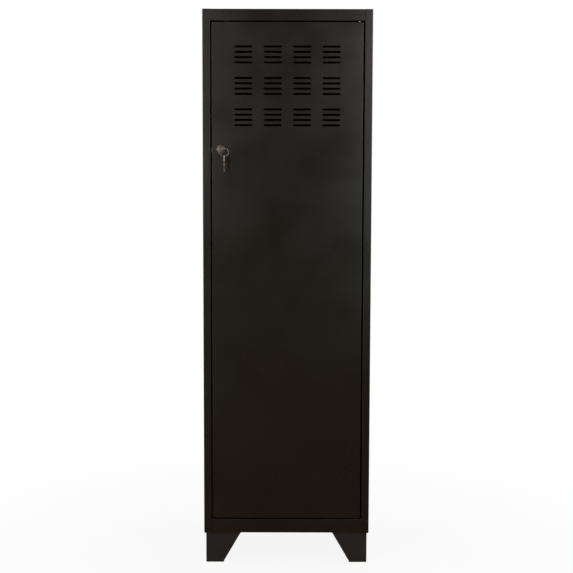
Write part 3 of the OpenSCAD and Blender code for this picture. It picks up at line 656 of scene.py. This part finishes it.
def lockPlug(s):
    # From the square boss at the back, along the round plug, over its face and into the keyway
    halfA, halfB = s["keyway"][0] / 2, s["keyway"][1] / 2
    corner = math.atan2(halfB, halfA)
    corners = [corner, np.pi - corner, np.pi + corner, 2 * np.pi - corner]
    angle = np.sort(np.concatenate([circleOf(96), corners, np.pi / 4 + circleOf(4) + 1e-4]))
    circle = np.array([np.cos(angle), np.sin(angle)])
    boss = rectangleLoop(angle, s["boss"] / 2, s["boss"] / 2)
    way = rectangleLoop(angle, halfA, halfB)
    lead = s["keywayLead"]
    wider = rectangleLoop(angle, halfA + lead, halfB + lead)
    r, face, groove = s["plugRadius"], s["plugHeight"], s["groove"]
    sunk = face - s["grooveDepth"]
    rows = [(boss * 0.95, s["bossEnd"]), (boss, s["bossEnd"] + 0.2), (boss, s["plugEnd"]),
            (circle * (r - 0.2), s["plugEnd"]), (circle * r, s["plugEnd"] + 0.2), (circle * r, face - 0.4),
            (circle * (r - 0.12), face - 0.12), (circle * (r - 0.4), face), (circle * groove[0], face),
            (circle * groove[1], sunk), (circle * groove[2], sunk), (circle * groove[3], face),
            (wider, face), (way, face - lead), (way, s["keywayEnd"])]
    axes = (xAxis, zAxis, outward)
    return shell([placed(loop[0], loop[1], level, lockAt, axes) for loop, level in rows])


def lockCam(s, back):
    # A stamped plate: a round end and a leg, square-holed, with the edges of the stamping eased
    r, reach = s["halfWidth"], s["reach"]
    arc = np.linspace(0, np.pi, 40)
    leg = rounded([(-r, 0), (-r, -reach), (r, -reach), (r, 0)], [0, s["corner"], s["corner"], 0], 8)
    end = np.stack([r * np.cos(arc), r * np.sin(arc)], 1)
    outline = resampled(np.vstack([end[:-1], leg[:-1]]), 180)
    square = rectangleLoop(circleOf(720), s["hole"] / 2, s["hole"] / 2).T
    hole = seenFrom((0, 0), outline, square)
    return holedPlate(outline, hole, 0, s["thick"], s["chamfer"], back, (xAxis, zAxis, outward))[0]


camBack = np.array([lockAt[0], nodeBox("lock_cam")[1][1], lockAt[2]])
nutFoot = lockAt + mm * lockSettings["nutBack"] * outward
nut = hexNut(nutFoot, outward, lockSettings["nutFlats"], lockSettings["nutHeight"], lockSettings["nutBore"])
screw = crossHead(camBack, yAxis, camSettings["screwRadius"], camSettings["screwHeight"],
                  camSettings["screwSlot"], 34, 96, below=camSettings["screwShank"])
addPiece("lockBarrel", "door", [lockBarrel(lockSettings)], "lock_nickel", ["lock_barrel"], 30)
addPiece("lockPlug", "lock_core", [lockPlug(lockSettings)], "lock_nickel", ["lock_plug"], 30)
addPiece("lockNut", "door", [nut], "zinc_plate", ["lock_nut"], 28)
addPiece("lockCam", "lock_core", [lockCam(camSettings, camBack)], "zinc_plate", ["lock_cam"], 25)
addPiece("camScrew", "lock_core", [screw], "zinc_plate", ["cam_screw"], 35)


# Keys and their ring

keySettings = {
    "bowWidth": 25.0, "bowLength": 25.0, "bowCorner": 7.3, "neckWidth": 9.8, "neckLength": 5.0,
    "thick": 2.0, "edge": 0.28, "slotFromEnd": 7.4, "slotHalf": 10.1, "slotWidth": 5.0,
    "bladeWidth": 7.8, "bladeLength": 21.0, "tip": 1.95, "cuts": (0.5, 0.9, 0.3, 0.7), "firstCut": 4.0,
    "cutPitch": 3.6, "grooveAt": 0.975, "grooveWide": 1.3, "grooveDeep": 0.4, "grooveWall": 0.15,
}


def keyShells(s, origin, axes):
    # The bow and neck are a holed plate; the blade is a grooved section carried along, narrowed at each cut
    neck, wide, shoulder = s["neckWidth"] / 2, s["bowWidth"] / 2, -s["neckLength"]
    far = shoulder - s["bowLength"]
    corners = [(neck, 0), (neck, shoulder), (wide, shoulder), (wide, far),
               (-wide, far), (-wide, shoulder), (-neck, shoulder), (-neck, 0)]
    radii = [0.3, 0.25] + [s["bowCorner"]] * 4 + [0.25, 0.3]
    outer = resampled(rounded(corners, radii, 14, closed=True)[::-1], 220)
    half, slotHalf = s["slotWidth"] / 2, s["slotHalf"]
    middle = (0.0, far + s["slotFromEnd"])
    slot = rounded([(slotHalf, -half), (slotHalf, half), (-slotHalf, half), (-slotHalf, -half)],
                   half * 0.999, 24, closed=True) + np.array(middle)
    slot = seenFrom(middle, outer, resampled(slot, 900))
    t = s["thick"] / 2
    bow, share = holedPlate(outer, slot, -t, t, s["edge"], origin, axes, 1.4)
    along = np.unique(np.concatenate([np.linspace(-0.8, s["bladeLength"], 150),
                                      s["firstCut"] + s["cutPitch"] * np.arange(len(s["cuts"]))]))
    notch = sum(np.maximum(0, cut - 0.01 - np.abs(along - s["firstCut"] - s["cutPitch"] * n))
                for n, cut in enumerate(s["cuts"]))
    width = s["bladeWidth"] / 2 - notch - np.maximum(0, along - (s["bladeLength"] - s["tip"]))
    e, g, gw, gd, wall = s["edge"], s["grooveAt"], s["grooveWide"] / 2, s["grooveDeep"], s["grooveWall"]
    isEdge = np.array([1, 0, 0, 0, 0, 1, 1, 1, 1, 0, 0, 0, 0, 1, 1, 1], float)
    side = np.array([1, 0, 0, 0, 0, -1, -1, -1, -1, 0, 0, 0, 0, 1, 1, 1], float)
    extra = np.array([-e, g + gw, g + gw - wall, g - gw + wall, g - gw, e, 0, 0,
                      e, -g - gw, -g - gw + wall, -g + gw - wall, -g + gw, -e, 0, 0])
    level = np.array([t, t, t - gd, t - gd, t, t, t - e, -t + e,
                      -t, -t, -t + gd, -t + gd, -t, -t, -t + e, t - e])
    inNeck = np.where(along < 0, 0.9, 1.0)[:, None]
    rows = placed(side * width[:, None] + extra, along[:, None] + 0 * side, level * inNeck, origin, axes)
    towardsTip = np.clip((along - s["bladeLength"] + 3) / 3, 0, 1)[:, None]
    rub = np.clip(isEdge * 0.8 + towardsTip * 0.7 + 0.15, 0, 1)
    return [bow, shell(rows)], np.concatenate([share, rub.ravel(), [0.5, 1.0]])


keyLow, keyHigh = nodeBox("door_key")
keyShoulder = (keyLow + keyHigh) / 2
keyShoulder[1] = keyHigh[1] - mm * keySettings["bladeLength"]
shells, rub = keyShells(keySettings, keyShoulder, (xAxis, yAxis, zAxis))
addPiece("doorKey", "key", shells, "key_nickel", ["door_key"], 30, rub)
spareLow, spareHigh = nodeBox("spare_key")
spareShoulder = (spareLow + spareHigh) / 2
spareShoulder[2] = spareLow[2] + mm * keySettings["bladeLength"]
shells, rub = keyShells(keySettings, spareShoulder, (yAxis, -zAxis, xAxis))
addPiece("spareKey", "spare", shells, "key_nickel", ["spare_key"], 30, rub)

ringSettings = {
    "radius": 12.0, "wide": 1.5, "thick": 0.75, "apart": 0.39, "jog": 0.55, "gap": 0.12, "edge": 0.16,
    "start": 0.9, "taper": 0.02, "narrowest": 0.55,  # both ends are narrowed over the taper
}


def splitRing(s):
    # Flat wire carried nearly twice round, stepping across by its own thickness where the turns change over
    ringLow, ringHigh = nodeBox("key_ring")
    centre = (ringLow + ringHigh) / 2
    along = np.linspace(0, 4 * np.pi - s["jog"] - s["gap"], 300)
    step = np.clip((along - 2 * np.pi + s["jog"]) / s["jog"], 0, 1)
    across = s["apart"] * (2 * step * step * (3 - 2 * step) - 1)
    a, b = s["wide"] / 2, s["thick"] / 2
    section = rounded([(-a, -b), (a, -b), (a, b), (-a, b)], s["edge"], 4, closed=True)
    fromEnd = np.minimum(along, along[-1] - along)
    narrow = np.clip(fromEnd / s["taper"], s["narrowest"], 1)[:, None]
    radius = s["radius"] + section[:, 0] * narrow
    level = across[:, None] + section[:, 1] * narrow
    return shell(around(radius, along[:, None] + s["start"], level, centre, (xAxis, zAxis, yAxis)))


addPiece("splitRing", "ring", [splitRing(ringSettings)], "ring_steel", ["key_ring"], 40)


# Rivets, bolts and nuts

rivetSettings = {"head": 3.5, "height": 1.2, "shank": 1.9, "mandrel": 0.9, "sunk": 0.45}
backSettings = {"stack": 2.0, "rowLow": 152.0, "rowHigh": 1599.0, "rowCount": 7, "endSide": 125.0}
boltSettings = {
    "head": 6.0, "height": 3.0, "slot": 0.6, "shank": 2.97, "neck": 2.62, "neckLength": 1.0,
    "fromEnd": 54.0, "end": 83.7,
}
footNutSettings = {"flats": 9.87, "height": 4.8, "bore": 3.02, "low": 85.2}


def blindRivet(s, origin, axis, stack, count=28):
    # Domed head with the mandrel sunk in its middle, a shank through the sheets, and the bulb behind
    head, mandrel, height, shank = s["head"], s["mandrel"], s["height"], s["shank"]
    dome = domeProfile(head, height)
    sunk = height - s["sunk"]
    middle = [(0, sunk + 0.12), (mandrel * 0.6, sunk + 0.06), (mandrel * 0.95, sunk),
              (mandrel, height - 0.1), (mandrel + 0.15, height - 0.06)]
    sides = [(head - 0.1, 0), (shank, 0), (shank, -stack), (head - 0.1, -stack)]
    outside = dome[dome[:, 0] > mandrel + 0.2]
    bulb = dome[::-1] * [1, -1] - [0, stack]
    return turned(np.vstack([middle, outside, sides, bulb]), origin, axis, count)


def backRivets(s, b):
    low, high = nodeBox("back_rivets")
    edge = high[0] - mm * s["head"]
    rows = np.linspace(mm * b["rowLow"], mm * b["rowHigh"], b["rowCount"])
    sides = [(x, z) for x in (-edge, edge) for z in rows]
    side = mm * b["endSide"]
    ends = [(x, z) for x in (-side, side) for z in (low[2] + mm * s["head"], high[2] - mm * s["head"])]
    face = high[1] - mm * s["height"]
    return [blindRivet(s, np.array([x, face, z]), yAxis, b["stack"]) for x, z in sides + ends]


def footBolts(s, n):
    low, high = nodeBox("foot_bolts")
    x = high[0] - mm * s["head"]
    near, far = mm * s["head"], mm * (s["head"] + s["fromEnd"])
    ys = (low[1] + near, low[1] + far, high[1] - far, high[1] - near)
    top = high[2] - mm * s["height"]
    neck = s["neck"], s["neckLength"]
    bolts = []
    nuts = []
    for x, y in [(side * x, y) for side in (-1, 1) for y in ys]:
        end, nutLow = np.array([x, y, mm * s["end"]]), np.array([x, y, mm * n["low"]])
        head = np.array([x, y, top])
        bolts.append(crossHead(head, zAxis, s["head"], s["height"], s["slot"], 22, 48, below=neck))
        bolts.append(threadedRod(end, zAxis, s["shank"], top / mm - s["end"] - 0.05))
        nuts.append(hexNut(nutLow, zAxis, n["flats"], n["height"], n["bore"], 1.0, 48))
    return bolts, nuts


rivets = backRivets(rivetSettings, backSettings)
addPiece("backRivets", "cabinet", rivets, "painted_rivet", ["back_rivets"], 40)
stopLow, stopHigh = nodeBox("stop_rivet")
stopTop = np.append((stopLow[:2] + stopHigh[:2]) / 2, stopHigh[2] - mm * rivetSettings["height"])
stopStack = (stopHigh[2] - stopLow[2]) / mm - 2 * rivetSettings["height"]
stopRivet = blindRivet(rivetSettings, stopTop - [0, 0, mm * stopStack], -zAxis, stopStack, 40)
addPiece("stopRivet", "cabinet", [stopRivet], "rivet_aluminium", ["stop_rivet"], 40)
boltShells, nutShells = footBolts(boltSettings, footNutSettings)
addPiece("footBolts", "cabinet", boltShells, "zinc_plate", ["foot_bolts"], 35)
addPiece("footNuts", "cabinet", nutShells, "zinc_plate", ["foot_nuts"], 28)


# Hinges

hingeSettings = {
    "pin": 3.0, "head": 6.0, "headThick": 3.0, "chamfer": 1.0, "flange": 6.06, "flangeThick": 1.5,
    "sleeve": 4.56, "bore": 3.06,
}
hingeAt = jointAt["door_swing"][:2]
hingeEnds = (("lower", 0, zAxis), ("upper", 1, -zAxis))


def hingePin(s, z, length, axis):
    # A rounded head and a shank with a chamfered end
    r, h = s["pin"], s["head"]
    profile = rounded([(0, -s["headThick"]), (h, -s["headThick"]), (h, 0), (r, 0), (r, length - s["chamfer"]),
                       (r - s["chamfer"], length), (0, length)], [0, 0.6, 0.3, 0, 0.2, 0.2, 0], 6)
    return turned(profile, np.append(hingeAt, z), axis)


def hingeBush(s, z, length, axis):
    # A flange and a sleeve round a bore, with softened moulded edges
    bore, flange, thick, sleeve = s["bore"], s["flange"], s["flangeThick"], s["sleeve"]
    corners = [(bore, 0), (flange, 0), (flange, thick), (sleeve, thick), (sleeve, length), (bore, length)]
    profile = rounded(corners, [0.25, 0.35, 0.35, 0.1, 0.4, 0.25], 5, closed=True)
    return turned(profile, np.append(hingeAt, z), axis, bored=True)


def hingeWasher(s, low, high):
    # A flat ring with rounded corners between the rail and the lower bush
    bore, flange, thick = s["bore"], s["flange"], (high[2] - low[2]) / mm
    profile = rounded([(bore, 0), (flange, 0), (flange, thick), (bore, thick)], 0.3, 5, closed=True)
    return turned(profile, np.append(hingeAt, low[2]), zAxis, bored=True)


headThick = mm * hingeSettings["headThick"]
for where, end, axis in hingeEnds:
    box = nodeBox(where + "_hinge_pin")
    length = (box[1][2] - box[0][2] - headThick) / mm
    pin = hingePin(hingeSettings, box[end][2] + headThick * axis[2], length, axis)
    addPiece(where + "HingePin", "cabinet", [pin], "zinc_plate", [where + "_hinge_pin"])
for where, end, axis in hingeEnds:
    box = nodeBox(where + "_hinge_bush")
    bush = hingeBush(hingeSettings, box[end][2], (box[1][2] - box[0][2]) / mm, axis)
    addPiece(where + "HingeBush", "door", [bush], "nylon", [where + "_hinge_bush"])
washer = hingeWasher(hingeSettings, *nodeBox("hinge_washer"))
addPiece("hingeWasher", "cabinet", [washer], "nylon", ["hinge_washer"])


# Door buffers and strike plate

bufferSettings = {
    "radius": 4.0, "flange": 0.8, "button": (2.7, 3.2, 3.3), "dome": 1.3, "fromEnd": 150.0,
    "bodyProud": 2.5, "stopProud": 3.5,
}
strikeSettings = {"thick": 0.8, "bend": 0.9, "corner": 2.0}


def doorBuffers(s):
    # Moulded bumpers: a thin flange, and a domed button that the door closes against
    low, high = nodeBox("door_buffers")
    r = mm * s["radius"]
    crown, side, foot = s["button"]
    flange = s["flange"]
    ends = doorBox[0][2] + mm * s["fromEnd"], doorBox[1][2] - mm * s["fromEnd"]
    places = [(low[0] + r, z, s["bodyProud"]) for z in ends] + [(high[0] - r, high[2] - r, s["stopProud"])]
    shells = []
    for x, z, proud in places:
        corners = [(0, proud), (crown, proud - 0.15), (side, proud - s["dome"]), (foot, flange + 0.1),
                   (s["radius"], flange), (s["radius"], 0), (0, 0)]
        profile = rounded(corners, [0, 0.9, 0.5, 0.2, 0.2, 0.1, 0], 7)
        shells.append(turned(profile, np.array([x, low[1] + mm * proud, z]), outward, 44))
    return shells


def strikePlate(s):
    # A strip folded over the lip of the side, its corners rounded: a section carried along the fold
    low, high = nodeBox("strike_plate")
    t = s["thick"] / 2
    x0, x1, y0, y1 = low[0] / mm, high[0] / mm - t, low[1] / mm + t, high[1] / mm - t
    path = rounded([(x0, y0), (x1, y0), (x1, y1), (x0, y1)], [0, s["bend"], s["bend"], 0], 10)
    ends = 0.05 * s["corner"] * np.array([0, 1, 2, 4, 7, 11, 15, 20])
    straightA = np.stack([x0 + ends, np.full(8, y0)], 1)
    straightB = np.stack([x0 + ends[::-1], np.full(8, y1)], 1)
    path = np.vstack([straightA, path[1:-1], straightB])
    along = np.gradient(path, axis=0)
    along /= np.linalg.norm(along, axis=1)[:, None]
    normal = np.stack([along[:, 1], -along[:, 0]], 1)
    fromEnd = np.clip(path[:, 0] - x0, 0, s["corner"])
    lower = s["corner"] - np.sqrt(s["corner"] ** 2 - (s["corner"] - fromEnd) ** 2)
    half = (high[2] - low[2]) / mm / 2 - lower
    section = rounded([(-t, -1), (t, -1), (t, 1), (-t, 1)], 0.2, 4, closed=True)
    across, height = section[:, 0], section[:, 1]
    a = path[:, :1] + normal[:, :1] * across
    b = path[:, 1:] + normal[:, 1:] * across
    c = np.sign(height) * (half[:, None] - 1 + np.abs(height))
    return shell(placed(a, b, c, [0, 0, (low[2] + high[2]) / 2], (xAxis, yAxis, zAxis)))


buffers, strike = doorBuffers(bufferSettings), strikePlate(strikeSettings)
addPiece("doorBuffers", "cabinet", buffers, "black_rubber", ["door_buffers"], 50)
addPiece("strikePlate", "cabinet", [strike], "strike_zinc", ["strike_plate"], 35)


# Stage and light

stageSettings = {
    "halfSide": 12.0,
    "floor": (0.84, 0.84, 0.83),
    "floorInGloss": (0.19, 0.098, 0.046),  # what the lower half of the door mirrors
    "floorGlow": 0.90,
    "floorFade": (0.45, 1.6),  # how far out the floor starts to brighten, and where it is plain white
    "skyHigh": (0.010, 0.022, 0.012),
    "skyLow": (0.02, 0.02, 0.02),
}


def makeStage(s):
    side = s["halfSide"]
    corners = [(-side, -side, 0), (side, -side, 0), (side, side, 0), (-side, side, 0)]
    mesh = bpy.data.meshes.new("floor")
    mesh.from_pydata(corners, [], [(0, 1, 2, 3)])
    floor = bpy.data.objects.new("floor", mesh)
    bpy.context.scene.collection.objects.link(floor)
    material = bpy.data.materials.new("floor")
    material.use_nodes = True
    tree = material.node_tree
    tree.nodes.remove(tree.nodes["Principled BSDF"])
    path = addNode(tree, "LightPath").outputs
    pale = addNode(tree, "BsdfDiffuse", {"Color": (*s["floor"], 1)}).outputs[0]
    glow = addNode(tree, "Emission", {"Color": (1, 1, 1, 1)}).outputs[0]
    dark = addNode(tree, "Emission", {"Color": (*s["floorInGloss"], 1)}).outputs[0]
    at = addNode(tree, "TexCoord").outputs["Object"]
    away = addNode(tree, "VectorMath", {0: at}, operation="LENGTH").outputs["Value"]
    fade = addRange(tree, away, *s["floorFade"], s["floorGlow"], 1.0)
    share = addMath(tree, "MULTIPLY", path["Is Camera Ray"], fade)
    shown = addNode(tree, "MixShader", {0: share, 1: pale, 2: glow}).outputs[0]
    shown = addNode(tree, "MixShader", {0: path["Is Glossy Ray"], 1: shown, 2: dark}).outputs[0]
    tree.links.new(shown, tree.nodes["Material Output"].inputs["Surface"])
    mesh.materials.append(material)

    world = bpy.data.worlds.new("studio")
    bpy.context.scene.world = world
    world.use_nodes = True
    tree = world.node_tree
    height = addNode(tree, "SeparateXYZ", {0: addNode(tree, "TexCoord").outputs["Generated"]}).outputs["Z"]
    sky = addMix(tree, addRange(tree, height, -0.4, 0.4), s["skyLow"], s["skyHigh"])
    sky = addMix(tree, addNode(tree, "LightPath").outputs["Is Camera Ray"], sky, (1.0, 1.0, 1.0))
    tree.links.new(sky, tree.nodes["Background"].inputs["Color"])
    world.cycles.sampling_method = "NONE"


lightSettings = {
    "roof": {"at": (0.0, -0.4, 4.0), "aim": (0.0, 0.0, 0.0), "size": (5.0, 4.0), "power": 45, "gloss": False},
    "leftStrip": {"at": (-0.56, -1.1, 1.6), "aim": (-0.25, -0.2, 1.5), "size": (0.16, 1.3), "power": 4.6,
                  "tint": (1.0, 0.95, 0.88)},
    "rightStrip": {"at": (0.56, -1.1, 1.75), "aim": (0.25, -0.2, 1.6), "size": (0.16, 1.0), "power": 5.6,
                   "tint": (1.0, 0.86, 0.93)},
    "rightMiddle": {"at": (0.56, -1.1, 1.0), "aim": (0.25, -0.2, 1.0), "size": (0.16, 0.6), "power": 1.7,
                    "tint": (0.68, 1.0, 0.80)},
    "lowLeft": {"at": (-0.80, -1.25, 0.5), "aim": (-0.1, -0.2, 0.6), "size": (0.42, 0.7), "power": 1.6,
                "tint": (0.75, 1.0, 0.86)},
    "highLeft": {"at": (-0.80, -1.25, 1.95), "aim": (-0.1, -0.2, 1.6), "size": (0.42, 0.6), "power": 1.0,
                 "tint": (0.7, 0.5, 1.0)},
    "besideRight": {"at": (3.2, 1.2, 2.2), "aim": (0.2, 0.0, 0.9), "size": (1.4, 2.6), "power": 34},
    "besideLeft": {"at": (-3.2, 1.0, 2.2), "aim": (-0.2, 0.0, 0.9), "size": (1.4, 2.6), "power": 30},
    "behind": {"at": (0.6, 3.4, 2.4), "aim": (0.0, 0.2, 0.9), "size": (3.2, 2.0), "power": 60},
    "overhead": {"at": (0.0, 0.3, 3.6), "aim": (0.0, 0.1, 1.6), "size": (3.2, 3.2), "power": 14},
}


def makeLight(name, s):
    data = bpy.data.lights.new(name, "AREA")
    data.shape = "RECTANGLE"
    data.size, data.size_y = s["size"]
    data.energy = s["power"]
    data.color = s.get("tint", (1, 1, 1))
    light = bpy.data.objects.new(name, data)
    light.location = s["at"]
    away = np.array(s["aim"]) - np.array(s["at"])
    light.rotation_euler = (math.pi / 2 + math.atan2(away[2], math.hypot(away[0], away[1])), 0,
                            math.atan2(away[1], away[0]) - math.pi / 2)
    light.visible_camera = False
    light.visible_glossy = s.get("gloss", True)
    bpy.context.scene.collection.objects.link(light)


bpy.context.scene.view_settings.view_transform = "Standard"
makeStage(stageSettings)
for lightName, settings in lightSettings.items():
    makeLight(lightName, settings)
print("stage and", len(lightSettings), "lights")
